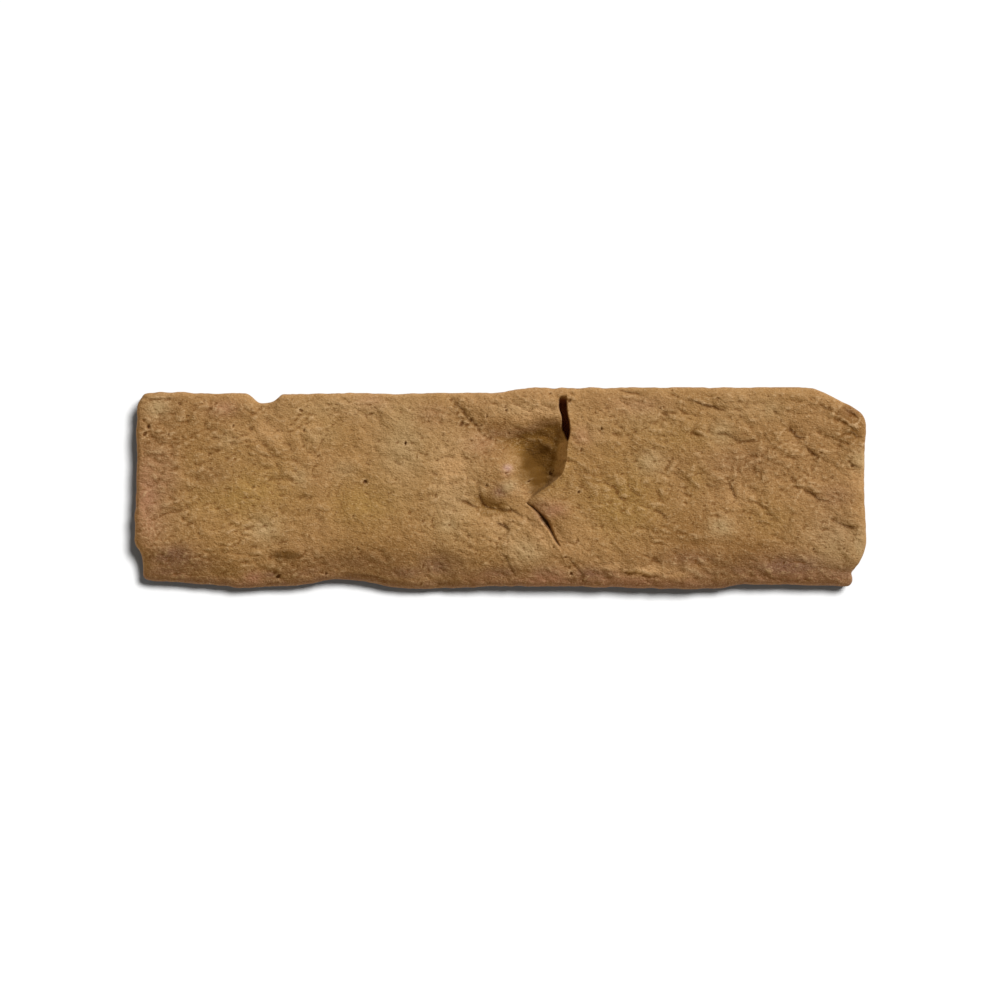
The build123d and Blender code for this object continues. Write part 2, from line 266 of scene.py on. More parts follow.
# Tucks where clay dips down and under its neighbour: points from left to right, with the
# tucked clay above them, the depth, and the reach of the steep side
TUCKS = [
    ([(477, 481), (480, 490), (481.5, 498), (484.5, 504.5), (489.5, 508.5), (497, 510), (506, 511),
      (515, 514), (524, 521)], 0.85, 1.6),
    ([(450, 480), (454, 487), (464, 490.5)], 0.85, 0.9),
    ([(455, 500), (466, 503), (471, 506), (480, 508.5)], 0.75, 0.85),
    ([(494, 521), (502, 525), (511, 530)], 0.75, 0.85),
    ([(498, 551), (505, 558), (510, 566), (516, 577)], 0.75, 1.0),
    ([(300, 490), (304, 496.5), (312, 497)], 0.4, 0.7),
    ([(155, 500), (160, 507.5), (170, 509), (178, 504)], 0.4, 0.75),
    ([(268, 557), (280, 559), (296, 556)], 0.55, 1.2),
    ([(204, 452), (214, 453), (228, 447)], 0.4, 0.85),
    ([(446, 406), (452, 413), (457, 418), (463, 424), (469, 428)], 0.75, 0.8),
    ([(451, 396), (458, 404), (463, 412.5), (467.5, 419.5), (473.5, 424), (478, 429.5),
      (484, 435.5), (489, 438)], 0.9, 1.0),
    ([(682, 400), (700, 402.5), (713, 407), (728, 413)], 0.75, 0.9),
    ([(690, 431), (697, 434.5), (704, 435)], 0.45, 0.75),
    ([(716, 432), (728, 436), (740, 440.5), (760, 444)], 0.85, 0.9),
    ([(786, 428), (791, 432), (798, 437), (806, 439)], 0.9, 1.0),
    ([(803, 445), (810, 452), (820, 456.5)], 1.0, 0.9),
    ([(847, 461), (853, 465.5), (862, 468)], 0.85, 0.75),
    ([(803, 489), (818, 498.5), (834, 502.5)], 0.9, 1.05),
    ([(825, 516), (838, 524), (858, 528.5)], 1.3, 1.05),
    ([(726, 477), (731, 491), (737, 501)], 0.8, 0.9),
    ([(700, 483), (711, 487), (722, 485)], 0.5, 0.9),
    ([(613, 483), (621, 498), (630, 507)], 0.85, 1.2),
    ([(625, 482), (633, 490), (643, 496)], 0.6, 0.9),
    ([(598, 481), (606, 481.5), (614, 478)], 0.7, 0.75),
    ([(655, 507), (662, 514), (670, 520)], 0.7, 0.9),
    ([(678, 461), (684, 465), (692, 466)], 0.5, 0.75),
    ([(658, 456), (668, 458.5), (680, 458)], 0.4, 0.75),
    ([(613, 419), (618, 426), (625, 429)], 0.6, 0.75),
    ([(616, 389), (630, 393), (645, 396)], 0.55, 0.75),
    ([(661, 412), (667, 416), (674, 417)], 0.5, 0.75),
    ([(786, 470), (794, 479), (801, 492)], 0.35, 0.9),
    ([(724, 459), (728, 459), (733, 456)], 0.5, 0.7),
    ([(774, 557), (784, 558), (796, 555)], 0.5, 0.9),
    ([(545, 577), (570, 580), (600, 583), (630, 584)], 0.5, 0.85),
    ([(600, 574), (622, 579), (645, 581), (680, 583), (710, 584)], 0.5, 0.85),
    ([(688, 573), (694, 579), (704, 581), (718, 580)], 0.5, 0.75),
    ([(735, 578), (765, 577), (800, 581), (840, 582)], 0.5, 0.85),
    ([(340, 575), (365, 576), (385, 580), (405, 584)], 0.5, 0.75),
    ([(425, 582), (440, 584), (455, 583)], 0.5, 0.75),
    ([(255, 573), (270, 571), (283, 576)], 0.45, 0.75),
    ([(566, 555), (574, 566), (584, 579)], 0.6, 1.0),
    ([(648, 561), (654, 563), (662, 562)], 0.7, 0.85),
    ([(842, 406), (850, 414), (859, 419)], 0.6, 1.0),
    ([(849, 431), (856, 437), (864, 439)], 0.7, 0.9),
    ([(818, 402), (826, 408), (834, 410)], 0.55, 0.9),
]

# How far the tucked clay takes to come back, the width and place of the painted shade line along
# it, and how the tucks break up: cell and loss, swing and limits
TUCK_RETURN, TUCK_SHADE_LINE, TUCK_SHADE_PLACE = 5.0, 0.5, 0.5
TUCK_BREAKS, TUCK_SWING, TUCK_LIMITS = (5.0, 0.18), 1.6, (0.1, 1.3)

# Creases where one flake of clay overlaps the next: points from left to right, the step down
# at the flake's edge and its width, and the reach of the lift above and of the dip below
CREASES = [
    ([(485, 512), (507, 515), (527, 523)], 0.7, 1.0, 3.0, 3.0),
    ([(425, 582), (434, 583.5), (446, 584)], 0.6, 0.8, 1.5, 1.5),
    ([(143, 395), (158, 397), (170, 399), (182, 402)], 0.8, 0.8, 1.5, 2.5),
    ([(677, 470), (695, 485), (708, 494)], 0.8, 1.8, 4.0, 4.0),
    ([(786, 466), (796, 482), (806, 493)], 0.4, 0.8, 3.0, 3.0),
    ([(684, 430), (700, 436), (708, 442)], 0.4, 1.2, 3.0, 2.5),
    ([(634, 455), (652, 459), (672, 462)], 0.5, 1.4, 3.0, 3.0),
    ([(300, 422), (318, 430), (345, 435)], 0.4, 1.5, 3.0, 3.5),
    ([(268, 436), (300, 444), (330, 455)], 0.3, 1.5, 3.5, 3.5),
    ([(200, 452), (214, 447), (240, 443)], 0.7, 1.6, 3.0, 3.5),
    ([(140, 438), (152, 434), (166, 442)], 0.8, 1.4, 3.0, 3.0),
    ([(612, 395), (630, 398), (646, 402)], 0.5, 1.0, 2.0, 2.5),
    ([(640, 424), (664, 418), (690, 424)], 0.5, 1.6, 3.5, 3.5),
    ([(735, 400), (762, 404), (790, 414)], 0.6, 1.4, 3.0, 3.0),
    ([(820, 412), (838, 418), (860, 432)], 0.9, 1.4, 3.0, 3.0),
    ([(810, 428), (832, 436), (862, 450)], 0.9, 1.4, 3.0, 3.5),
    ([(600, 545), (630, 553), (668, 556)], 0.4, 1.6, 4.0, 3.0),
    ([(590, 568), (615, 571), (645, 575), (692, 579)], 1.0, 1.2, 3.0, 3.0),
]

# How the creases and tucks wander, and how the creases break up: cell and amount
CREASE_WANDER = (2.4, 0.5)
CREASE_BREAKS = (5.0, 0.45)

# Pits: place, radius and depth
PITS = [
    (149, 427, 0.75, 0.9), (168.5, 434, 0.5, 0.6), (234, 425, 0.5, 0.6), (180, 404, 0.5, 0.6),
    (366, 482, 1.1, 0.75), (406, 444, 0.65, 1.3), (528.5, 480.5, 0.7, 1.1), (550.5, 472.5, 0.8, 1.0),
    (487, 484.5, 0.8, 0.5), (603, 429, 0.6, 0.6), (301, 411, 0.7, 0.7), (450, 401, 0.9, 0.35),
    (455, 407, 1.0, 0.35), (458, 413, 0.9, 0.4), (462, 419, 0.9, 0.4), (462, 424, 1.3, 0.55),
    (467, 425, 1.0, 0.5), (472, 420, 1.2, 0.55), (475, 425, 0.9, 0.4), (479, 430, 1.1, 0.45),
    (484, 435, 1.1, 0.45), (490, 438, 1.0, 0.35), (496, 441, 0.9, 0.3), (145, 434, 1.1, 0.6),
    (569, 400.5, 0.9, 0.5), (506, 411, 0.7, 0.8), (327, 574, 0.7, 0.8), (278, 577, 0.7, 0.8),
    (654, 559, 1.2, 0.35), (790, 430, 0.5, 0.7), (845, 548, 0.5, 0.5), (565, 558, 0.5, 0.6),
    (578.5, 491.5, 0.6, 0.8), (319, 456, 0.5, 0.5), (353, 516, 0.5, 0.5), (304, 431, 0.7, 0.6),
    (572, 574, 0.9, 0.8), (507, 472.5, 0.8, 0.4),
]

# How the pits' rims wander, and the power that shapes their walls
PIT_BEND_CELL, PIT_BEND, PIT_WALL = 0.9, 0.35, 1.5

# Small pits strewn over the face: how many, least and greatest radius and depth, and seed
STREWN_PITS, STREWN_RADII, STREWN_DEPTHS, STREWN_SEED = 120, (0.4, 0.8), (0.2, 0.6), 82

# Patches of painted shade in the pocket, under the lobe's brow, in the hollow and beside the crack,
# of painted light on the wall under the lip, and a dark patch near the bottom: kind, strength,
# softness of the border in millimetres, and outline
PATCHES = [
    ("umber_shade", 1.0, 3.0, [
        (524, 453), (534, 448), (546, 443), (552, 444), (550, 455), (548, 466), (542, 475), (531, 481),
        (522, 474), (521, 461),
    ]),
    ("umber_shade", 1.0, 2.4, [
        (530, 474), (538, 467), (549, 470), (557, 476), (550, 485), (541, 491), (533, 498), (530, 490),
    ]),
    ("umber_shade", 0.35, 1.2, [(519, 433), (530, 428), (545, 427), (547, 435), (532, 438), (522, 437)]),
    ("umber_shade", 0.6, 1.0, [
        (275, 552), (281, 550), (290, 551), (299, 552.5), (303, 556), (296, 559), (286, 560), (277, 559),
    ]),
    ("shade", 0.3, 2.0, [
        (519, 472), (530, 466), (534, 478), (532, 490), (527, 498), (523, 491), (519, 482),
    ]),
    ("light_clay_and_painted_light", 0.7, 1.0, [
        (559, 443), (567, 440), (567, 455), (565, 470), (560, 477), (549, 484), (551, 474), (554, 460),
    ]),
    ("mauve", 0.55, 1.5, [
        (490, 431), (505, 430), (520, 430), (534, 422), (545, 419.5), (557, 420), (561, 430), (562, 438),
        (545, 441), (528, 442), (508, 440), (494, 437),
    ]),
    ("shade", 0.2, 1.2, [
        (480, 491), (483, 499), (487, 504), (494, 507), (504, 508.5), (504, 511), (492, 510.5),
        (484, 507), (481, 502),
    ]),
    ("mauve", 0.45, 1.5, [(528, 503), (545, 500), (553, 508), (551, 517), (541, 515)]),
]

# Stains: place, half sizes along and up, and strength. Most are tones of the clay; the brown and
# mauve spots along the lobe's furrow and brow, at the slit's head and beside the crack paint shade,
# and the lighter spots on the lobe's crest, on the ridge beside the pocket and along the ledge near
# the bottom paint light.
STAINS = {
    "pale": [
        (445, 460, 22, 26, 0.6), (449, 525, 14, 9, 0.7), (525, 550, 20, 14, 0.7),
        (721, 432, 12, 12, 0.6), (650, 462, 14, 12, 0.7), (720, 527, 12, 9, 0.8),
        (265, 530, 16, 14, 0.7), (158, 408, 12, 10, 0.8), (228, 440, 10, 8, 0.5),
        (345, 470, 14, 10, 0.4), (300, 478, 8, 9, 0.5), (860, 460, 12, 10, 0.6),
        (770, 410, 14, 10, 0.4), (510, 487, 7, 6, 1.0), (320, 435, 18, 10, 0.4),
        (404, 446, 28, 46, 0.6), (452, 485, 26, 60, 0.5), (505, 530, 26, 18, 0.3),
        (644, 415, 30, 20, 0.25), (740, 408, 26, 14, 0.25), (836, 545, 30, 24, 0.45),
        (356, 409, 74, 12, 0.4), (160, 490, 24, 66, 0.1), (530, 409, 40, 7, 0.4),
        (596, 431, 20, 14, 0.2), (859, 544, 7, 15, 0.7),
    ],
    "light_clay_and_painted_light": [
        (452, 467, 20, 24, 0.85), (516, 492, 6, 6, 0.8), (526, 491, 5, 7, 0.8), (540, 412, 24, 10, 0.6),
        (590, 431, 16, 14, 0.3), (356, 409, 28, 12, 0.2), (356, 453, 28, 12, 0.2),
        (404, 476, 24, 12, 0.25), (548, 540, 20, 10, 0.25), (500, 538, 26, 10, 0.25),
        (612, 567, 14, 3.5, 0.8), (648, 571, 24, 4, 1.0), (676, 575, 15, 4, 0.8),
        (858, 480, 8, 10, 0.5), (740, 408, 24, 10, 0.25), (530, 424, 16, 5, 0.3),
        (262, 431, 26, 12, 0.45), (740, 498, 22, 12, 0.35), (500, 522, 26, 10, 0.4),
        (548, 538, 20, 10, 0.4), (308, 430, 26, 10, 0.3),
    ],
    "pink": [(507.5, 468, 4.5, 3.2, 1.0)],
    "rosy": [
        (148, 497, 14, 40, 0.8), (582, 436, 10, 9, 0.7), (556, 510, 12, 8, 0.7), (545, 579, 22, 6, 0.9),
        (254, 577, 10, 6, 1.0), (507, 473, 5, 4, 0.6), (640, 581, 60, 7, 0.6), (480, 578, 20, 6, 0.5),
        (225, 408, 14, 9, 0.5), (480, 445, 22, 14, 0.4), (640, 405, 30, 10, 0.4),
        (800, 578, 50, 7, 0.5), (430, 415, 16, 12, 0.4), (160, 480, 20, 30, 0.4),
        (370, 402, 16, 8, 0.5),
    ],
    "olive": [
        (240, 490, 60, 40, 0.8), (365, 505, 35, 25, 0.7), (625, 500, 45, 40, 0.8),
        (560, 455, 10, 25, 0.6), (695, 480, 14, 22, 0.5), (545, 470, 22, 22, 0.7),
        (325, 430, 30, 20, 0.4), (775, 520, 30, 20, 0.4), (680, 438, 44, 18, 0.5),
    ],
    "brown": [
        (160, 436, 26, 14, 0.6), (285, 556, 16, 7, 0.8), (380, 558, 55, 16, 0.6),
        (212, 449, 12, 5, 0.6), (850, 432, 22, 30, 0.7), (725, 565, 60, 16, 0.7), (235, 441, 9, 5, 0.5),
        (200, 565, 60, 16, 0.4), (600, 575, 90, 12, 0.25), (760, 470, 130, 60, 0.25),
        (815, 446, 12, 9, 0.5), (700, 432, 20, 10, 0.3), (212, 433, 30, 12, 0.35),
        (548, 558, 26, 9, 0.45), (692, 538, 38, 26, 0.9), (745, 550, 44, 18, 0.9),
        (644, 548, 30, 14, 0.3), (620, 485, 40, 20, 0.2), (165, 420, 34, 26, 0.35),
        (262, 408, 24, 10, 0.25), (858, 440, 8, 16, 0.7), (852, 412, 12, 9, 1.0),
        (212, 478, 28, 12, 0.3), (500, 558, 60, 8, 0.35), (502, 443, 14, 7, 0.45),
        (561, 397, 5, 3, 0.8), (742, 558, 40, 9, 0.9), (788, 566, 36, 10, 0.6), (600, 495, 30, 14, 0.3),
        (438, 560, 5, 9, 0.9), (757, 566, 30, 8, 0.6), (308, 570, 28, 9, 0.8), (836, 571, 32, 10, 1.1),
        (404, 541, 30, 10, 0.35), (660, 498, 44, 12, 0.4), (185, 441, 46, 20, 0.4),
        (644, 558, 30, 9, 0.6), (692, 558, 34, 10, 1.0), (495, 428, 10, 6, 1.3), (471, 428, 9, 6, 1.2),
        (462, 419, 8, 8, 0.8), (456, 408, 8, 8, 0.8), (532, 433, 14, 5, 1.2), (475, 449, 24, 12, 0.55),
        (788, 431, 26, 11, 0.4), (740, 455, 32, 12, 0.45), (596, 475, 28, 12, 0.4),
        (160, 445, 26, 26, 0.6), (790, 556, 30, 8, 0.7), (850, 415, 14, 12, 1.2),
        (856, 430, 12, 14, 1.2),
    ],
    "mauve": [
        (172, 557, 24, 14, 1.0), (196, 565, 20, 12, 0.5), (440, 565, 22, 12, 0.8),
        (520, 433, 26, 6, 0.5), (590, 575, 24, 9, 0.6), (540, 512, 8, 12, 0.5), (700, 575, 50, 10, 0.4),
        (350, 565, 60, 14, 0.4), (505, 488, 12, 6, 0.6), (160, 415, 34, 24, 0.2),
        (156, 500, 26, 60, 0.4), (212, 409, 30, 14, 0.2), (212, 475, 26, 14, 0.3),
        (792, 567, 50, 14, 1.0), (838, 535, 26, 30, 0.3), (164, 573, 30, 9, 0.8),
        (308, 573, 30, 8, 0.55), (500, 573, 30, 8, 0.7), (404, 573, 30, 8, 0.7),
        (745, 462, 40, 16, 0.25), (840, 575, 30, 10, 0.8), (852, 412, 11, 8, 0.35),
        (452, 573, 26, 8, 0.5), (548, 573, 26, 8, 0.6), (596, 574, 26, 8, 0.9), (692, 559, 34, 10, 0.5),
        (500, 492, 8, 6, 0.9), (740, 571, 30, 8, 0.6), (836, 497, 20, 12, 0.4), (271, 575, 10, 4, 0.8),
        (812, 576, 40, 7, 0.8), (600, 581, 40, 5, 0.6),
    ],
}

# Clay colours, as they look in the photograph
OCHRE = (160, 119, 67)
TAN = (167, 125, 77)
# Umber is also the mottle's dark tone; it and the shade colour paint the pocket's shade
UMBER_MOTTLE_AND_SHADE = (92, 58, 6)
SHADE = (120, 82, 24)
# Painted shade in the crack, along the tucks, in the relief's hollows and in the pits
CREVICE_SHADE = (78, 42, 8)
# Painted shade down the slit, darker and redder than the clay
MAROON_SLIT_SHADE = (122, 58, 26)
# The sand colours also paint highlight on the relief's tops and shade in its fine hollows
SAND_LIGHT_AND_HIGHLIGHT = (204, 168, 122)
SAND_DARK_AND_SHADE = (108, 64, 12)

# Colours of the stains, painted shade and light among them, in the order in which they are laid
STAIN_COLOURS = {
    "olive": (158, 121, 60), "brown": (132, 92, 44), "mauve": (122, 85, 62), "rosy": (166, 116, 84),
    "pale": (184, 154, 108), "light_clay_and_painted_light": (198, 152, 100), "pink": (198, 156, 136),
}

# Noises of the clay: scale, detail and roughness, and the stretch of all but the clouds
CLOUD, MOTTLE = (30, 3, 0.5), (190, 4, 0.6)
GRAINS, SPECKLE = (2100, 2, 0.6), (900, 2, 0.5)
STREAKED = (0.75, 1.0, 1.0)

# Tints laid over each other: what drives each one, where it starts and is full, strength, colour
GROUND = [("cloud", 0.3, 0.7, 1.0, TAN), ("mottle", 0.62, 0.3, 0.16, UMBER_MOTTLE_AND_SHADE)]
# Painted shade in the crack, along the tucks and in the relief's hollows, painted highlight on the
# relief's tops, and the sand's own light and dark grains
SHADE_HIGHLIGHT_AND_SAND = [
    ("crack", 0.3, 1.8, 0.95, CREVICE_SHADE), ("tuck", 0.1, 0.9, 0.8, CREVICE_SHADE),
    ("relief", -0.15, -1.0, 0.7, CREVICE_SHADE), ("relief", 0.05, 0.6, 0.35, SAND_LIGHT_AND_HIGHLIGHT),
    ("fine_shade_and_highlight", -0.01, -0.12, 0.6, SAND_DARK_AND_SHADE), ("fine_shade_and_highlight", 0.01, 0.12, 0.4, SAND_LIGHT_AND_HIGHLIGHT),
    ("grain", 0.52, 0.8, 0.5, SAND_LIGHT_AND_HIGHLIGHT), ("grain", 0.48, 0.22, 0.6, SAND_DARK_AND_SHADE),
    ("speckle", 0.38, 0.24, 0.6, SAND_DARK_AND_SHADE),
]
# Painted shade in the pits and down the slit
HOLLOW_SHADES = [("pit", 0.1, 0.7, 0.8, CREVICE_SHADE), ("slit", 1, 4, 0.9, MAROON_SLIT_SHADE)]

# How the mottle breaks up the stains: its range and the shares of them that are left
STAIN_BREAKS = (0.25, 0.6, 0.5, 1.0)

# How often the relief is smoothed to tell its crevices and its grit from broader forms, for the
# painted shade and highlight that they drive
RELIEF_BLUR, GRIT_BLUR = 16, 2

# Finish: the grain's range and the roughness at its two ends, gloss, and bump (strength, depth in
# millimetres, and the speckle's part beside the grain's)
ROUGHNESS, GLOSS = (0.3, 0.7, 0.98, 0.86), 0.2
BUMP_STRENGTH, BUMP_DEPTH, BUMP_SPECKLE = 0.66, 0.5, 1.2

# Mauve along the bottom rim, darker towards the bottom edge: where it is full, where it ends, and its
# strength
BOTTOM_RIM_MAUVE = (0.5, 5.0, 0.75)

# Camera: lens, sensor and the height at which its picture has the photograph's scale
LENS, SENSOR = 250.0, 36.0
FACE_LEVEL = 17.0

# Light: the lamps' direction, clockwise from the top of the picture, and the height, strength and
# softness of each, with angles in degrees. The key lamp lights the tile, and a steeper one the floor.
LIGHT_ASIDE = 46.0
KEY_HEIGHT, KEY_STRENGTH, KEY_SOFTNESS = 34.0, 4.45, 9.0
KEY_COLOUR = (0.75, 0.82, 1.0)
FLOOR_LAMP_HEIGHT, FLOOR_LAMP_STRENGTH, FLOOR_LAMP_SOFTNESS = 72.0, 14.9, 12.0
FLOOR_LAMP_COLOUR = (1.0, 0.857, 0.538)
SKY_COLOUR = (0.43, 0.37, 0.23)
FLOOR_SIDE = 6.0
FLOOR_DROP = 0.00005

# Times its lamp's colour the floor's is white, and times the sky's it is a neutral dark shade
FLOOR_COLOUR = (0.21, 0.245, 0.39)


def on_face(pixels):
    """Photograph pixels as millimetres on the face."""
    return (np.asarray(pixels, float) - MIDDLE_PIXEL) * (MM_PER_PIXEL, -MM_PER_PIXEL)


def smoothstep(low, high, value):
    """Smooth rise from 0 at one value to 1 at another."""
    share = np.clip((value - low) / (high - low), 0, 1)
    return share * share * (3 - 2 * share)


def between(low, high, share):
    """Value a share of the way from one to another."""
    return low + (high - low) * share


def spline_weights(share):
    """The four cubic weights of a point between two lattice lines."""
    return (
        (1 - share) ** 3 / 6,
        (3 * share**3 - 6 * share**2 + 4) / 6,
        (-3 * share**3 + 3 * share**2 + 3 * share + 1) / 6,
        share**3 / 6,
    )


def smooth_noise(along, across, seed):
    """Seeded smooth noise over a lattice of unit cells, from about -1 to 1."""
    size = 256
    gain = 2.2
    table = np.random.default_rng(seed).uniform(-gain, gain, (size, size))
    column = np.floor(along).astype(int)
    row = np.floor(across).astype(int)
    total = np.zeros(np.shape(along))
    for i, column_weight in enumerate(spline_weights(along - column)):
        for j, row_weight in enumerate(spline_weights(across - row)):
            total += column_weight * row_weight * table[(column + i) % size, (row + j) % size]
    return total


def even_noise(x, y, cell, name):
    """Noise of square cells, with its seed by name."""
    return smooth_noise(x / cell, y / cell, SEEDS[name])


def turned(x, y, degrees):
    """Coordinates along and across a direction on the face."""
    angle = math.radians(degrees)
    along = x * math.cos(angle) + y * math.sin(angle)
    across = y * math.cos(angle) - x * math.sin(angle)
    return along, across


def layered_noise(x, y, layers):
    """Sum of noise layers of given cells, direction, height and seed."""
    total = np.zeros(np.shape(x))
    for cell_along, cell_across, degrees, height, seed in layers:
        along, across = turned(x, y, degrees)
        total += height * smooth_noise(along / cell_along, across / cell_across, seed)
    return total


def bent(x, y):
    """Coordinates that wander a little, so that what is laid out in them has no straight lines."""
    stray_x = even_noise(x, y, BEND_CELL, "bend x")
    stray_y = even_noise(x, y, BEND_CELL, "bend y")
    return x + BEND * stray_x, y + BEND * stray_y


def turning_noise(x, y, cells, seed):
    """Noise whose lie turns along the tile."""
    turn = smoothstep(*LUMP_TURN, x)
    total = np.zeros(np.shape(x))
    for share, degrees in ((1 - turn, LUMP_LIE[0]), (turn, LUMP_LIE[1])):
        along, across = turned(x, y, degrees)
        total += share * smooth_noise(along / cells[0], across / cells[1], seed)
    return total


def lumpy_noise(x, y):
    """Rounded lumps with sharp furrows."""
    total = np.zeros(np.shape(x))
    for cell_along, cell_across, height, seed in LUMPS:
        lumps = turning_noise(*bent(x, y), (cell_along, cell_across), seed)
        total += height * (2 * np.abs(lumps) - LUMP_LEVEL)
    return total * between(*LUMP_GAIN, smoothstep(*LUMP_TURN, x))


def plate_noise(x, y):
    """Flakes of clay: level treads with short risers between them."""
    x, y = bent(x, y)
    level = turning_noise(x, y, PLATE_CELLS, SEEDS["plate"]) + layered_noise(x, y, PLATE_LAYERS)
    level /= PLATE_RISE
    tread = np.floor(level)
    return PLATE_HEIGHT * (tread + smoothstep(1 - PLATE_EDGE, 1, level - tread))


def dashes(x, y):
    """Short dashes, here and there."""
    noise = turning_noise(x, y, DASH_CELLS, SEEDS["dash"])
    return -DASH_DEPTH * np.maximum(noise - DASH_FLOOR, 0)


def line_distance(x, y, line):
    """Signed distance to a line of points, positive above it, and the share of the way along it."""
    pieces = np.diff(line, axis=0)
    lengths = np.hypot(pieces[:, 0], pieces[:, 1])
    nearest = np.full(np.shape(x), np.inf)
    signed = np.zeros(np.shape(x))
    share = np.zeros(np.shape(x))
    travelled = 0.0
    for (x0, y0), (dx, dy), length in zip(line[:-1], pieces, lengths):
        reach = np.clip(((x - x0) * dx + (y - y0) * dy) / length, 0, length)
        distance = np.hypot(x - x0 - reach * dx / length, y - y0 - reach * dy / length)
        side = np.where(dx * (y - y0) - dy * (x - x0) < 0, -1, 1)
        nearer = distance < nearest
        nearest = np.where(nearer, distance, nearest)
        signed = np.where(nearer, side * distance, signed)
        share = np.where(nearer, (travelled + reach) / lengths.sum(), share)
        travelled += length
    return signed, share


def end_fade(share):
    """Full in the middle of a line and fading at both ends."""
    return np.sqrt(np.maximum(np.sin(np.pi * share), 0))


def wall_points(starts, direction):
    """Where rays sent at the CAD solid's edges from outside meet them."""
    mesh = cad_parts[TILE].data
    tree = BVHTree.FromPolygons([v.co for v in mesh.vertices], [p.vertices for p in mesh.polygons])
    hits = []
    for x, y in starts:
        start = Vector((x, y, OUTLINE_LEVEL)) * MILLIMETRE
        hit = tree.ray_cast(start, Vector((*direction, 0)))[0]
        hits.append((hit.x / MILLIMETRE, hit.y / MILLIMETRE))
    return np.array(hits)


def corner_columns():
    """The x of each corner of the outline."""
    half = cad_box[1].x / MILLIMETRE
    ends = {"left": -1, "right": 1}
    return {name: ends[name.split()[1]] * (half - inset) for name, inset in CORNER_INSETS.items()}


def spaced(count, density):
    """Shares from 0 to 1, closer together where the density is higher."""
    samples = 5000
    fine = np.linspace(0, 1, samples)
    total = np.cumsum(density(fine))
    total = (total - total[0]) / (total[-1] - total[0])
    return np.interp(np.linspace(0, 1, count), total, fine)


def crowding(share, closer):
    """Added density towards both ends."""
    gain, reach = closer
    return gain * (np.exp(-share / reach) + np.exp((share - 1) / reach))


def column_density(share):
    """Columns lie closer at the fold and at the tile's ends."""
    gain, reach = FOLD_CLOSER
    left, right = cad_box[0].x, cad_box[1].x
    fold = (on_face(FOLD_LINE)[0, 0] - left / MILLIMETRE) * MILLIMETRE / (right - left)
    return 1 + gain * np.exp(-(((share - fold) / reach) ** 2)) + crowding(share, END_CLOSER)


def row_density(share):
    """Rows lie closer at the top and bottom."""
    return 1 + crowding(share, RIM_CLOSER)


def outline_sides(columns, rows):
    """The four sides of the CAD outline: bottom and top run right, left and right run up."""
    corner = corner_columns()
    bottom_x = between(corner["lower left"], corner["lower right"], columns)
    top_x = between(corner["upper left"], corner["upper right"], columns)
    bottom = wall_points([(x, -FAR_OUT) for x in bottom_x], (0, 1))
    top = wall_points([(x, FAR_OUT) for x in top_x], (0, -1))
    left_y = between(bottom[0, 1], top[0, 1], rows)
    right_y = between(bottom[-1, 1], top[-1, 1], rows)
    left = wall_points([(-FAR_OUT, y) for y in left_y], (1, 0))
    right = wall_points([(FAR_OUT, y) for y in right_y], (-1, 0))
    left[0], left[-1] = bottom[0], top[0]
    right[0], right[-1] = bottom[-1], top[-1]
    return bottom, top, left, right


def ring_of(bottom, top, left, right):
    """The outline as one loop, anticlockwise from the lower left corner."""
    return np.concatenate([bottom[:-1], right[:-1], top[:0:-1], left[:0:-1]])


def sides_of(ring):
    """A loop split into its four sides again."""
    a, b, c = COLUMNS - 1, COLUMNS + ROWS - 2, 2 * COLUMNS + ROWS - 3
    bottom = ring[: a + 1]
    right = ring[a : b + 1]
    top = ring[b : c + 1][::-1]
    left = np.concatenate([ring[c:], ring[:1]])[::-1]
    return bottom, top, left, right


def inward_normals(ring):
    """Unit vectors from each point of a loop into the tile."""
    apart = 3
    along = np.roll(ring, -apart, axis=0) - np.roll(ring, apart, axis=0)
    normals = np.stack([-along[:, 1], along[:, 0]], axis=1)
    return normals / np.linalg.norm(normals, axis=1, keepdims=True)


def ring_lengths(ring):
    """Distance travelled along a loop at each of its points."""
    steps = np.linalg.norm(np.diff(ring, axis=0), axis=1)
    return np.concatenate([[0], np.cumsum(steps)])


def ragged_ring(ring):
    """The outline with softened corners and bites of rough clay taken out of it."""
    for _ in range(CORNER_SOFTNESS):
        ring = (np.roll(ring, 1, axis=0) + 2 * ring + np.roll(ring, -1, axis=0)) / 4
    travelled = ring_lengths(ring)
    bite = np.zeros(len(ring))
    for cell, depth, seed in RAGGED:
        bite += depth * (1 + smooth_noise(travelled / cell, travelled * 0, seed)) / 2
    for px, py, reach, depth in EDGE_BITES:
        away = np.hypot(*(ring - on_face((px, py))).T)
        bite += depth * np.exp(-((away / reach) ** 2))
    ring = ring + inward_normals(ring) * (np.maximum(bite, 0) - RAGGED_LIFT)[:, None]
    return np.clip(ring, *[np.array(corner.xy) / MILLIMETRE for corner in cad_box])


def filled_grid(sides, columns, rows):
    """Grid of points between the four sides of the outline."""
    bottom, top, left, right = sides
    u = columns[None, :, None]
    v = rows[:, None, None]
    across = (1 - v) * bottom[None] + v * top[None]
    upward = (1 - u) * left[:, None] + u * right[:, None]
    corners = (1 - v) * ((1 - u) * bottom[0] + u * bottom[-1]) + v * ((1 - u) * top[0] + u * top[-1])
    return across + upward - corners


def fold_x(y):
    """The fold line's x at a height up the face."""
    line = on_face(FOLD_LINE)[::-1]
    return np.interp(y, line[:, 1], line[:, 0])


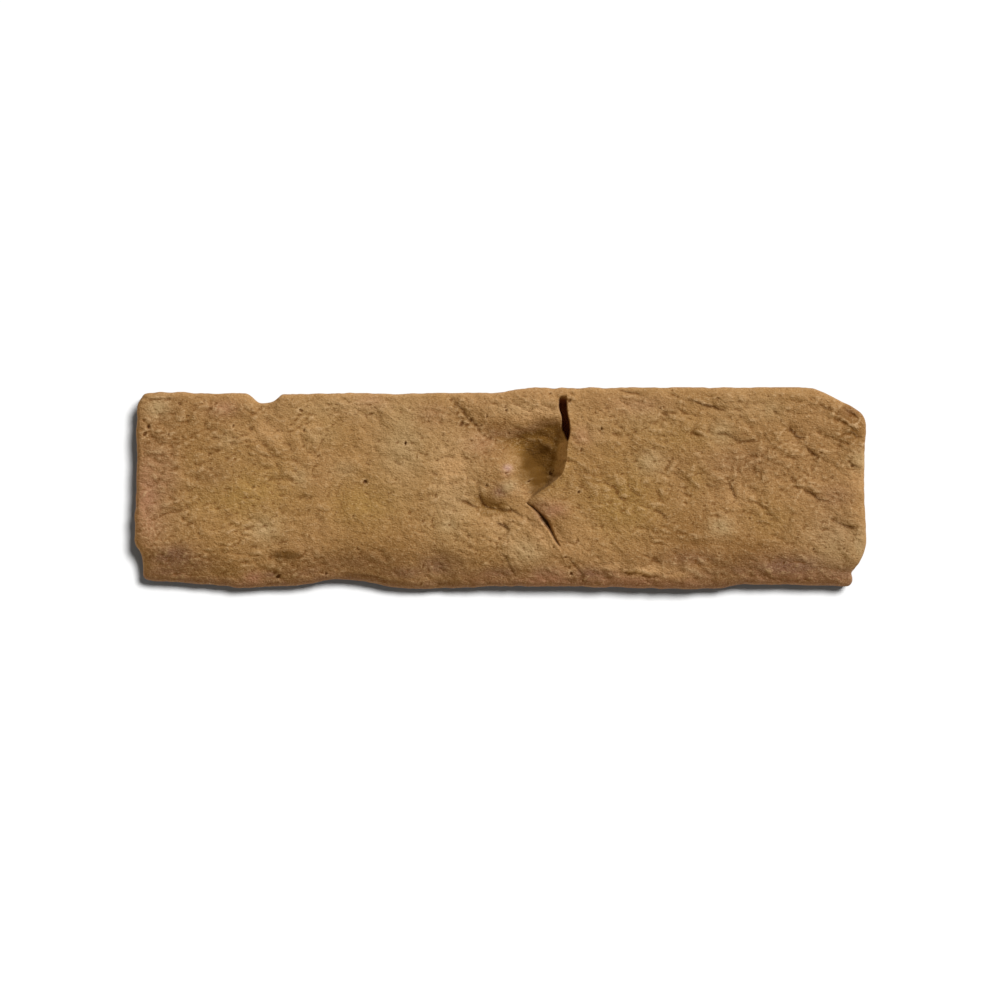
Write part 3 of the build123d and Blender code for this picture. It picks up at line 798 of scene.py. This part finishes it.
def follow_fold(grid, columns):
    """Bend the grid so that one of its columns lies on the fold line."""
    rest = on_face(FOLD_LINE)[0, 0]
    middle = np.argmin(np.abs(grid[ROWS // 2, :, 0] - rest))
    length = (cad_box[1].x - cad_box[0].x) / MILLIMETRE
    away = (columns - columns[middle]) * length
    reach = np.where(away < 0, FOLD_REACH[0], FOLD_REACH[1])
    weight = 1 - smoothstep(0, 1, np.abs(away) / reach)
    inner = np.ones(ROWS)
    inner[0] = inner[-1] = 0
    shift = (fold_x(grid[:, middle, 1]) - grid[:, middle, 0]) * inner
    grid[:, :, 0] += shift[:, None] * weight[None, :]
    return grid


def rolled_drop(distance, roll):
    """Drop of the face towards an edge, as a round shoulder of given width and depth."""
    width, depth = roll
    near = np.clip(1 - distance / width, 0, 1)
    parabola = 1 - near**2
    circle = np.sqrt(np.maximum(parabola, 0))
    return depth * (1 - circle / 2 - parabola / 2)


def edge_distances(x, y, sides):
    """Distance from the bottom, top, left and right edges."""
    bottom, top, left, right = sides
    return (
        y - np.interp(x, bottom[:, 0], bottom[:, 1]),
        np.interp(x, top[:, 0], top[:, 1]) - y,
        x - np.interp(y, left[:, 1], left[:, 0]),
        np.interp(y, right[:, 1], right[:, 0]) - x,
    )


def rolled_face(x, y, sides):
    """Height of the crowned face with its rolls into the edges."""
    distances = edge_distances(x, y, sides)
    rolls = (BOTTOM_ROLL, TOP_ROLL, LEFT_ROLL, RIGHT_ROLL)
    drops = [rolled_drop(d, roll) for d, roll in zip(distances, rolls)]
    rounds = [rolled_drop(d, EDGE_ROUND) for d in distances]
    half_length = cad_box[1].x / MILLIMETRE
    half_height = cad_box[1].y / MILLIMETRE
    crown = FACE_CROWN * ((x / half_length) ** 2 + (y / half_height) ** 2) / 2
    drop = np.sqrt(sum(d**2 for d in drops)) + np.sqrt(sum(d**2 for d in rounds))
    return THICKNESS - RELIEF_ROOM - crown - drop


def thin_plate(points, values):
    """Weights of the smoothest surface through scattered heights."""
    count = len(points)
    distance = np.hypot(*(points[:, None] - points[None]).transpose(2, 0, 1))
    flat = np.column_stack([np.ones(count), points])
    system = np.zeros((count + 3, count + 3))
    system[:count, :count] = plate_kernel(distance)
    system[:count, count:] = flat
    system[count:, :count] = flat.T
    return np.linalg.solve(system, np.concatenate([values, np.zeros(3)]))


def plate_kernel(distance):
    """How a point bends the smoothest surface at some distance."""
    tiny = 1e-6
    return distance**2 * np.log(np.maximum(distance, tiny))


def fold_depths(x, y):
    """Depth of the sculpted clay to the left of the fold line."""
    points = on_face([(px, py) for px, py, _ in FOLD_DEPTHS])
    values = np.array([depth for _, _, depth in FOLD_DEPTHS], float)
    weights = thin_plate(points, values)
    depth = weights[-3] + weights[-2] * x + weights[-1] * y
    for (px, py), weight in zip(points, weights):
        depth = depth + weight * plate_kernel(np.hypot(x - px, y - py))
    middle = on_face(FOLD_MIDDLE)
    along = (x - middle[0]) / (FOLD_SPREAD[0] * MM_PER_PIXEL)
    across = (y - middle[1]) / (FOLD_SPREAD[1] * MM_PER_PIXEL)
    return depth * (1 - smoothstep(*FOLD_FADE, np.hypot(along, across)))


def left_of_fold(x, y):
    """Distance to the left of the fold line, square to it."""
    step = 0.2
    slope = (fold_x(y + step) - fold_x(y - step)) / (2 * step)
    return (fold_x(y) - x) / np.sqrt(1 + slope**2)


def pocket_relief(x, y):
    """Sculpted clay that stops in a curved wall under the lip."""
    reach = np.interp(pixel_row(y), *np.array(LIP_WALLS).T)
    share = np.clip(left_of_fold(x, y) / reach, 0, 1)
    along, across = STREAK_CELLS
    streaks = STREAK_HEIGHT * smooth_noise(x / along, y / across, SEEDS["streak"])
    streaks = streaks * spotted(x, y, STREAKED_CLAY)
    return (streaks - fold_depths(x, y)) * (1 - (1 - share) ** 2)


def pixel_row(y):
    """Pixel row of the photograph at a height up the face."""
    return MIDDLE_PIXEL[1] - y / MM_PER_PIXEL


def slit_relief(x, y):
    """Deep slit to the left of the fold line, pointed at its foot."""
    left = left_of_fold(x, y)
    width = np.interp(pixel_row(y), *np.array(SLIT_WIDTHS).T)
    cell, wander = SLIT_WANDER
    width = width + np.minimum(width, wander) * even_noise(x, y, cell, "slit")
    depth = SLIT_DEPTH * smoothstep(*SLIT_HEAD, pixel_row(y))
    return -depth * smoothstep(0, SLIT_EDGES[1], left) * smoothstep(0, SLIT_EDGES[0], width - left)


def crack_groove(x, y):
    """Thin crack along the fold line."""
    width = np.interp(pixel_row(y), *np.array(CRACK_WIDTHS).T)
    away = left_of_fold(x, y) / np.maximum(width, CRACK_LEAST)
    return -CRACK_STEEPNESS * width * np.exp(-(away**2))


def crack_shoulders(x, y):
    """Clay that rolls down into the crack on its right, and its raised lip on the left."""
    left = left_of_fold(x, y)
    top, bottom = CRACK_WIDTHS[0][0], CRACK_WIDTHS[-1][0]
    share = np.clip((pixel_row(y) - top) / (bottom - top), 0, 1)
    rolling = -SHOULDER_DROP * np.clip(1 + left / SHOULDER_REACH, 0, 1) ** 2
    lifted = LIP_LIFT * np.exp(-((left / LIP_REACH) ** 2))
    return end_fade(share) * np.where(left < 0, rolling, lifted)


def tucked(x, y):
    """Clay that dips steeply above each tuck and comes back slowly below it, and its painted shade
    lines.
    """
    cell, wander = CREASE_WANDER
    stray = wander * even_noise(x, y, cell, "tuck")
    cell, loss = TUCK_BREAKS
    whole = 1 - loss + TUCK_SWING * loss * even_noise(x, y, cell, "tuck breaks")
    relief = np.zeros(x.shape)
    shade_lines = np.zeros(x.shape)
    for pixels, depth, reach in TUCKS:
        signed, share = line_distance(x, y, on_face(pixels))
        signed = signed + stray
        drop = depth * (end_fade(share) * np.clip(whole, *TUCK_LIMITS))
        dip = np.exp(-np.maximum(signed, 0) / reach) * np.exp(np.minimum(signed, 0) / TUCK_RETURN)
        relief -= drop * dip
        shade_lines = np.maximum(shade_lines, drop * np.exp(-((signed / TUCK_SHADE_LINE - TUCK_SHADE_PLACE) ** 2)))
    return relief, shade_lines


def flake_step(signed, step, width, above, below):
    """Step down from a flake's lifted edge to the dip below it."""
    lifted = STEP_LIFT * step * np.exp(-np.maximum(signed, 0) / above)
    dipped = -STEP_DIP * step * np.exp(np.minimum(signed, 0) / below)
    return dipped + smoothstep(-width / 2, width / 2, signed) * (lifted - dipped)


def strewn_flakes():
    """Seeded short lines that follow the lie of the clay where it is rough, and their steps."""
    random = np.random.default_rng(FLAKE_SEED)
    low, high = cad_box[0] / MILLIMETRE, cad_box[1] / MILLIMETRE
    flakes = []
    for _ in range(FLAKES):
        place = np.array([random.uniform(low.x, high.x), random.uniform(low.y, high.y)])
        lie = between(*LUMP_LIE, smoothstep(*LUMP_TURN, place[0])) + random.normal(0, FLAKE_STRAY)
        ahead = np.array([math.cos(math.radians(lie)), math.sin(math.radians(lie))])
        aside = np.array([-ahead[1], ahead[0]]) * random.normal(0, FLAKE_BOW)
        half = ahead * random.uniform(*FLAKE_LENGTHS) / 2
        step = random.uniform(*FLAKE_STEPS)
        if random.uniform() < spotted(place[0], place[1], ROUGH, ROUGH_LEAST):
            flakes.append((np.array([place - half, place + aside, place + half]), step))
    return flakes


def flake_relief(x, y):
    """Steps of the strewn flakes."""
    cell, wander = CREASE_WANDER
    stray = FLAKE_WANDER * wander * even_noise(x, y, cell, "flake")
    total = np.zeros(x.shape)
    for line, step in strewn_flakes():
        near = np.hypot(x - line[1, 0], y - line[1, 1]) < FLAKE_LENGTHS[1]
        signed, share = line_distance(x[near], y[near], line)
        signed = signed + stray[near]
        total[near] += end_fade(share) * flake_step(signed, step, FLAKE_EDGE, FLAKE_ABOVE, FLAKE_BELOW)
    return total


def crease_relief(x, y):
    """Steps down from each flake's lifted edge, broken here and there and fading at both ends."""
    cell, wander = CREASE_WANDER
    stray = wander * even_noise(x, y, cell, "crease")
    cell, loss = CREASE_BREAKS
    whole = 1 - loss + loss * even_noise(x, y, cell, "crease breaks")
    total = np.zeros(x.shape)
    for pixels, step, width, above, below in CREASES:
        signed, share = line_distance(x, y, on_face(pixels))
        total += end_fade(share) * whole * flake_step(signed + stray, step, width, above, below)
    return total


def strewn_pits():
    """Seeded small pits: x, y, radius and depth."""
    random = np.random.default_rng(STREWN_SEED)
    low, high = cad_box[0] / MILLIMETRE, cad_box[1] / MILLIMETRE
    x = random.uniform(low.x, high.x, STREWN_PITS)
    y = random.uniform(low.y, high.y, STREWN_PITS)
    radius = random.uniform(*STREWN_RADII, STREWN_PITS)
    depth = random.uniform(*STREWN_DEPTHS, STREWN_PITS)
    return np.column_stack([x, y, radius, depth])


def pit_relief(x, y, strewn=()):
    """Small pits with uneven rims."""
    placed = [(*on_face((px, py)), radius, depth) for px, py, radius, depth in PITS]
    bent_x = x + PIT_BEND * even_noise(x, y, PIT_BEND_CELL, "pit x")
    bent_y = y + PIT_BEND * even_noise(x, y, PIT_BEND_CELL, "pit y")
    total = np.zeros(x.shape)
    for cx, cy, radius, depth in [*placed, *strewn]:
        away = np.hypot(bent_x - cx, bent_y - cy) / radius
        total -= depth * np.clip(1 - away**2, 0, 1) ** PIT_WALL
    return total


def bevel_relief(x, y):
    """Slope that breaks away from the face along the bottom."""
    line = on_face(BEVEL_LINE)
    below = np.interp(x, line[:, 0], line[:, 1]) - y
    soft = BEVEL_SOFTNESS
    return -BEVEL_SLOPE * soft * np.logaddexp(0, below / soft)


def spotted(x, y, spots, least=0.0):
    """Greatest strength of some soft spots at each point."""
    mask = np.full(np.shape(x), least)
    for px, py, along, up, strength in spots:
        cx, cy = on_face((px, py))
        away = ((x - cx) / (along * MM_PER_PIXEL)) ** 2 + ((y - cy) / (up * MM_PER_PIXEL)) ** 2
        mask = np.maximum(mask, strength * np.exp(-away))
    return mask


def rough_face(x, y, sides):
    """Height of the moulded face without its fold."""
    inner = smoothstep(*RIM_CALM, np.minimum.reduce(edge_distances(x, y, sides)))
    plates = plate_noise(x, y) * spotted(x, y, ROUGH, ROUGH_LEAST)
    relief = layered_noise(x, y, UNDULATION) * between(UNDULATION_LEFT, 1, inner)
    relief += plates * between(PLATES_LEFT, 1, inner)
    relief += lumpy_noise(x, y) * between(LUMPS_LEFT, 1, inner)
    relief += dashes(x, y) + layered_noise(x, y, GRAIN)
    relief += tucked(x, y)[0] + crease_relief(x, y) + flake_relief(x, y)
    relief += pit_relief(x, y, strewn_pits()) + bevel_relief(x, y)
    return rolled_face(x, y, sides) + relief


def blurred(field, times):
    """A grid of values smoothed with its neighbours."""
    for _ in range(times):
        padded = np.pad(field, 1, mode="edge")
        field = (padded[:-2, 1:-1] + padded[2:, 1:-1] + padded[1:-1, :-2] + padded[1:-1, 2:]) / 4
    return field


def patched(x, y, outline, softness):
    """1 inside an outline, with a soft border."""
    outline = np.asarray(outline)
    inside = np.zeros(x.shape, bool)
    for (x0, y0), (x1, y1) in zip(outline, np.roll(outline, -1, axis=0)):
        crosses = (y0 > y) != (y1 > y)
        inside ^= crosses & (x < x0 + (y - y0) * (x1 - x0) / (y1 - y0 if y1 != y0 else 1))
    border = np.abs(line_distance(x, y, np.vstack([outline, outline[:1]]))[0])
    return smoothstep(-softness, softness, np.where(inside, border, -border))


def stain_and_pocket_shade_masks(x, y, sides):
    """Strength of each kind of stain, and of the painted shade and light in and round the pocket, over
    the face.
    """
    masks = {kind: spotted(x, y, spots) for kind, spots in STAINS.items()}
    # Mauve, darker towards the bottom edge
    rim = 1 - smoothstep(*BOTTOM_RIM_MAUVE[:2], edge_distances(x, y, sides)[0])
    masks["mauve"] = np.maximum(masks["mauve"], BOTTOM_RIM_MAUVE[2] * rim)
    streaks = smooth_noise(x / TINT_CELLS[0], y / TINT_CELLS[1], SEEDS["tint"])
    depth = -pocket_relief(x, y) + TINT_STRAY * streaks
    under_lip = smoothstep(*TINT_WALL, left_of_fold(x, y))
    # Painted shade in the pocket, darker where the clay lies deeper
    for kind, (start, full, strength) in POCKET_SHADES.items():
        masks[kind] = strength * smoothstep(start, full, depth) * under_lip
    # Patches of painted shade and light in and round the pocket
    for kind, strength, softness, outline in PATCHES:
        patch = strength * (1 + PATCH_STRAY * streaks) * patched(x, y, on_face(outline), softness)
        masks[kind] = np.clip(np.maximum(masks.get(kind, np.zeros(x.shape)), patch), 0, 1)
    return masks


def ring_indices():
    """Grid indices of the outline, anticlockwise from the lower left corner."""
    index = np.arange(ROWS * COLUMNS).reshape(ROWS, COLUMNS)
    return ring_of(index[0], index[-1], index[:, 0], index[:, -1])


def wall_grid(ring, edge_heights):
    """Points down the rough edges to the back, their dents and their shares of the way."""
    inward = inward_normals(ring)
    travelled = ring_lengths(ring)
    rows, dents, shares = [], [], []
    for share in np.linspace(0, 1, WALL_ROWS + 1)[1:]:
        height = edge_heights * (1 - share)
        dent = np.zeros(len(ring))
        for along, down, depth, seed in WALL_DENTS:
            dent += depth * smooth_noise(travelled / along, height / down, seed)
        bite = np.maximum(WALL_INSET + dent, 0) * smoothstep(0, WALL_SHOULDER, share)
        foot = WALL_FOOT * smoothstep(WALL_FOOT_FROM, 1, share)
        rows.append(np.column_stack([ring + inward * (bite + foot)[:, None], height]))
        dents.append(dent)
        shares.append(np.full(len(ring), share))
    return np.concatenate(rows), np.concatenate(dents), np.concatenate(shares)


def tile_faces():
    """Faces of the moulded face, the edges and the flat back."""
    index = np.arange(ROWS * COLUMNS).reshape(ROWS, COLUMNS)
    corners = [index[:-1, :-1], index[:-1, 1:], index[1:, 1:], index[1:, :-1]]
    faces = [np.column_stack([c.ravel() for c in corners])]
    loop = ring_indices()
    for row in range(WALL_ROWS):
        below = ROWS * COLUMNS + row * len(loop) + np.arange(len(loop))
        above = loop if row == 0 else below - len(loop)
        faces.append(np.column_stack([above, below, np.roll(below, -1), np.roll(above, -1)]))
    return np.concatenate(faces).tolist() + [below[::-1].tolist()]


def stain_and_painted_shade_masks(x, y, sides, rough, slit, crack):
    """Strength of each kind of stain over the face, and of the painted shade and highlight that its
    relief, slit, crack, tucks and pits drive.
    """
    masks = stain_and_pocket_shade_masks(x, y, sides)
    relief = rough - rolled_face(x, y, sides) - bevel_relief(x, y)
    # The relief's hollows below its smoothed self drive painted shade, and its tops painted highlight,
    # at two scales
    masks["relief"] = relief - blurred(relief, RELIEF_BLUR)
    masks["fine_shade_and_highlight"] = relief - blurred(relief, GRIT_BLUR)
    # The slit, the crack, the tucks' lines and the pits drive painted shade
    masks["slit"] = -slit
    masks["crack"] = -crack
    masks["tuck"] = tucked(x, y)[1]
    masks["pit"] = -pit_relief(x, y)
    return masks


def set_masks(mesh, masks, dents, shares):
    """Masks of the face, carried on down the edges, where the stains fade and the dents drive the
    relief's painted shade and highlight.
    """
    fade = 1 - smoothstep(*WALL_STAIN, shares + dents)
    for name, mask in masks.items():
        rim = np.tile(mask.ravel()[ring_indices()], WALL_ROWS) if name in STAIN_COLOURS else 0
        wall = -dents if name == "relief" else rim * fade
        values = np.concatenate([mask.ravel(), wall])
        attribute = mesh.attributes.new(name, "FLOAT", "POINT")
        attribute.data.foreach_set("value", np.ascontiguousarray(values, np.float32))


def tile_mesh():
    """The dressed tile as one closed mesh with its masks."""
    columns = spaced(COLUMNS, column_density)
    rows = spaced(ROWS, row_density)
    ring = ragged_ring(ring_of(*outline_sides(columns, rows)))
    sides = sides_of(ring)
    grid = follow_fold(filled_grid(sides, columns, rows), columns)
    x, y = grid[:, :, 0], grid[:, :, 1]
    rough = rough_face(x, y, sides)
    slit, crack = slit_relief(x, y), crack_groove(x, y)
    fold = pocket_relief(x, y) + crack_shoulders(x, y) + slit + crack
    z = np.minimum(rough + fold, THICKNESS)
    face = np.stack([x, y, z], axis=2).reshape(-1, 3)
    walls, dents, shares = wall_grid(ring, face[ring_indices(), 2])
    mesh = bpy.data.meshes.new(TILE + "_clay")
    mesh.from_pydata(np.concatenate([face, walls]) * MILLIMETRE, [], tile_faces())
    mesh.polygons.foreach_set("use_smooth", np.ones(len(mesh.polygons), bool))
    mesh.polygons[len(mesh.polygons) - 1].use_smooth = False
    set_masks(mesh, stain_and_painted_shade_masks(x, y, sides, rough, slit, crack), dents, shares)
    mesh.update()
    return mesh


def linear(colour):
    """An 8 bit screen colour as the linear colour that a shader takes."""
    shares = [c / 255 for c in colour]
    return [s / 12.92 if s <= 0.04045 else ((s + 0.055) / 1.055) ** 2.4 for s in shares] + [1.0]


def add_node(tree, kind, output, inputs, **settings):
    """One output of a new node, with its settings made and its inputs linked or set."""
    node = tree.nodes.new("ShaderNode" + kind)
    for name, value in settings.items():
        setattr(node, name, value)
    for name, value in inputs.items():
        plug(tree, node.inputs[name], value)
    return node.outputs[output]


def plug(tree, socket, value):
    """Link a socket or set its plain value."""
    if isinstance(value, bpy.types.NodeSocket):
        tree.links.new(value, socket)
    else:
        socket.default_value = value


def noise_node(tree, settings, stretch=(1, 1, 1)):
    """Noise over the object, of some scale, detail and roughness."""
    scale, detail, roughness = settings
    place = add_node(tree, "TexCoord", "Object", {})
    place = add_node(tree, "Mapping", "Vector", {"Vector": place, "Scale": stretch})
    inputs = {"Vector": place, "Scale": scale, "Detail": detail, "Roughness": roughness}
    return add_node(tree, "TexNoise", "Fac", inputs)


def ranged(tree, value, low, high, to_low, to_high):
    """A value's range turned smoothly into another."""
    inputs = {"Value": value, "From Min": low, "From Max": high, "To Min": to_low, "To Max": to_high}
    return add_node(tree, "MapRange", "Result", inputs, interpolation_type="SMOOTHSTEP")


def maths(tree, operation, a, b):
    """Sum, product or the like of two values."""
    return add_node(tree, "Math", "Value", {0: a, 1: b}, operation=operation)


def mixed(tree, factor, a, b):
    """Two colours mixed."""
    return add_node(tree, "Mix", "Result", {"Factor": factor, "A": a, "B": b}, data_type="RGBA")


def attribute(tree, name):
    """One of the mesh's masks."""
    return add_node(tree, "Attribute", "Fac", {}, attribute_name=name)


def tinted(tree, colour, noises, layers):
    """A colour with tints laid over it, each driven by a noise or a mask."""
    for name, low, high, strength, tint in layers:
        driver = noises[name] if name in noises else attribute(tree, name)
        colour = mixed(tree, ranged(tree, driver, low, high, 0, strength), colour, linear(tint))
    return colour


def clay_colour(tree, grain, speckle):
    """Ochre clay with clouds, stains, sand grains, and painted shade and highlight in its crevices,
    pocket, pits and slit.
    """
    mottle = noise_node(tree, MOTTLE, STREAKED)
    noises = {"cloud": noise_node(tree, CLOUD), "mottle": mottle, "grain": grain, "speckle": speckle}
    colour = tinted(tree, linear(OCHRE), noises, GROUND)
    left = ranged(tree, mottle, *STAIN_BREAKS)
    # Stains, painted shade and light among them
    for kind, stain in STAIN_COLOURS.items():
        colour = mixed(tree, maths(tree, "MULTIPLY", attribute(tree, kind), left), colour, linear(stain))
    # Painted shade of the pocket
    colour = mixed(tree, attribute(tree, "shade"), colour, linear(SHADE))
    # Painted shade and highlight from the relief, the crack and the tucks, then the sand grains
    colour = tinted(tree, colour, noises, SHADE_HIGHLIGHT_AND_SAND)
    # Painted shade of the pocket and under the lobe's brow, darker still
    colour = mixed(tree, attribute(tree, "umber_shade"), colour, linear(UMBER_MOTTLE_AND_SHADE))
    # Painted shade in the pits and down the slit
    return tinted(tree, colour, noises, HOLLOW_SHADES)


def clay_material():
    """Unglazed sanded clay."""
    material = bpy.data.materials.new("terracotta_clay")
    material.use_nodes = True
    tree = material.node_tree
    shader = tree.nodes["Principled BSDF"]
    grain = noise_node(tree, GRAINS, STREAKED)
    speckle = noise_node(tree, SPECKLE, STREAKED)
    plug(tree, shader.inputs["Base Color"], clay_colour(tree, grain, speckle))
    plug(tree, shader.inputs["Roughness"], ranged(tree, grain, *ROUGHNESS))
    plug(tree, shader.inputs["Specular IOR Level"], GLOSS)
    height = maths(tree, "ADD", grain, maths(tree, "MULTIPLY", speckle, BUMP_SPECKLE))
    bump = {"Strength": BUMP_STRENGTH, "Distance": BUMP_DEPTH * MILLIMETRE, "Height": height}
    plug(tree, shader.inputs["Normal"], add_node(tree, "Bump", "Normal", bump))
    return material


def add_object(name, data):
    """A new object in the scene."""
    thing = bpy.data.objects.new(name, data)
    bpy.context.scene.collection.objects.link(thing)
    return thing


def make_tile():
    """The dressed tile, which stands for the CAD solid."""
    tile = add_object(TILE + "_dressed", tile_mesh())
    tile.data.materials.append(clay_material())
    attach(tile, "root")
    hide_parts(TILE)
    return tile


def floor_material():
    """Dull floor that is white under its lamp and keeps the tile's shadow."""
    material = bpy.data.materials.new("white_floor")
    material.use_nodes = True
    shader = material.node_tree.nodes["Principled BSDF"]
    shader.inputs["Base Color"].default_value = (*FLOOR_COLOUR, 1)
    shader.inputs["Roughness"].default_value = 1.0
    shader.inputs["Specular IOR Level"].default_value = 0.0
    return material


def make_floor():
    """Square floor just under the tile's back."""
    half = FLOOR_SIDE / 2
    corners = [(-half, -half), (half, -half), (half, half), (-half, half)]
    mesh = bpy.data.meshes.new("floor")
    mesh.from_pydata([(x, y, -FLOOR_DROP) for x, y in corners], [], [(0, 1, 2, 3)])
    floor = add_object("floor", mesh)
    mesh.materials.append(floor_material())
    return floor


def make_lamp(name, height, strength, softness, colour, lit):
    """Soft lamp from the upper right of the face, which lights one object."""
    lamp = bpy.data.lights.new(name, "SUN")
    lamp.energy = strength
    lamp.color = colour
    lamp.angle = math.radians(softness)
    aside, above = math.radians(LIGHT_ASIDE), math.radians(height)
    flat = math.cos(above)
    towards = Vector((math.sin(aside) * flat, math.cos(aside) * flat, math.sin(above)))
    holder = add_object(name, lamp)
    holder.rotation_mode = "QUATERNION"
    holder.rotation_quaternion = towards.to_track_quat("Z", "Y")
    receivers = bpy.data.collections.new(name + "_lights")
    receivers.objects.link(lit)
    holder.light_linking.receiver_collection = receivers


def make_sky():
    """Even light from all round, and a white background to what looks at it."""
    world = bpy.data.worlds.new("sky")
    world.use_nodes = True
    bpy.context.scene.world = world
    tree = world.node_tree
    seen = 0
    for ray in ("Is Camera Ray", "Is Glossy Ray", "Is Transmission Ray"):
        seen = maths(tree, "MAXIMUM", seen, add_node(tree, "LightPath", ray, {}))
    colour = mixed(tree, seen, (*SKY_COLOUR, 1), (1, 1, 1, 1))
    plug(tree, tree.nodes["Background"].inputs["Color"], colour)


def make_camera():
    """Camera straight above the face, with the photograph's framing."""
    camera = bpy.data.cameras.new("camera")
    camera.lens = LENS
    camera.sensor_width = SENSOR
    picture = PICTURE_SIDE * MM_PER_PIXEL
    distance = picture * LENS / SENSOR
    x, y = on_face((PICTURE_SIDE / 2, PICTURE_SIDE / 2))
    viewer = add_object("camera", camera)
    viewer.location = Vector((x, y, FACE_LEVEL + distance)) * MILLIMETRE
    bpy.context.scene.camera = viewer


bpy.context.scene.view_settings.view_transform = "Standard"
tile = make_tile()
floor = make_floor()
make_lamp("key", KEY_HEIGHT, KEY_STRENGTH, KEY_SOFTNESS, KEY_COLOUR, tile)
make_lamp(
    "floor_lamp", FLOOR_LAMP_HEIGHT, FLOOR_LAMP_STRENGTH, FLOOR_LAMP_SOFTNESS, FLOOR_LAMP_COLOUR, floor,
)
make_sky()
make_camera()
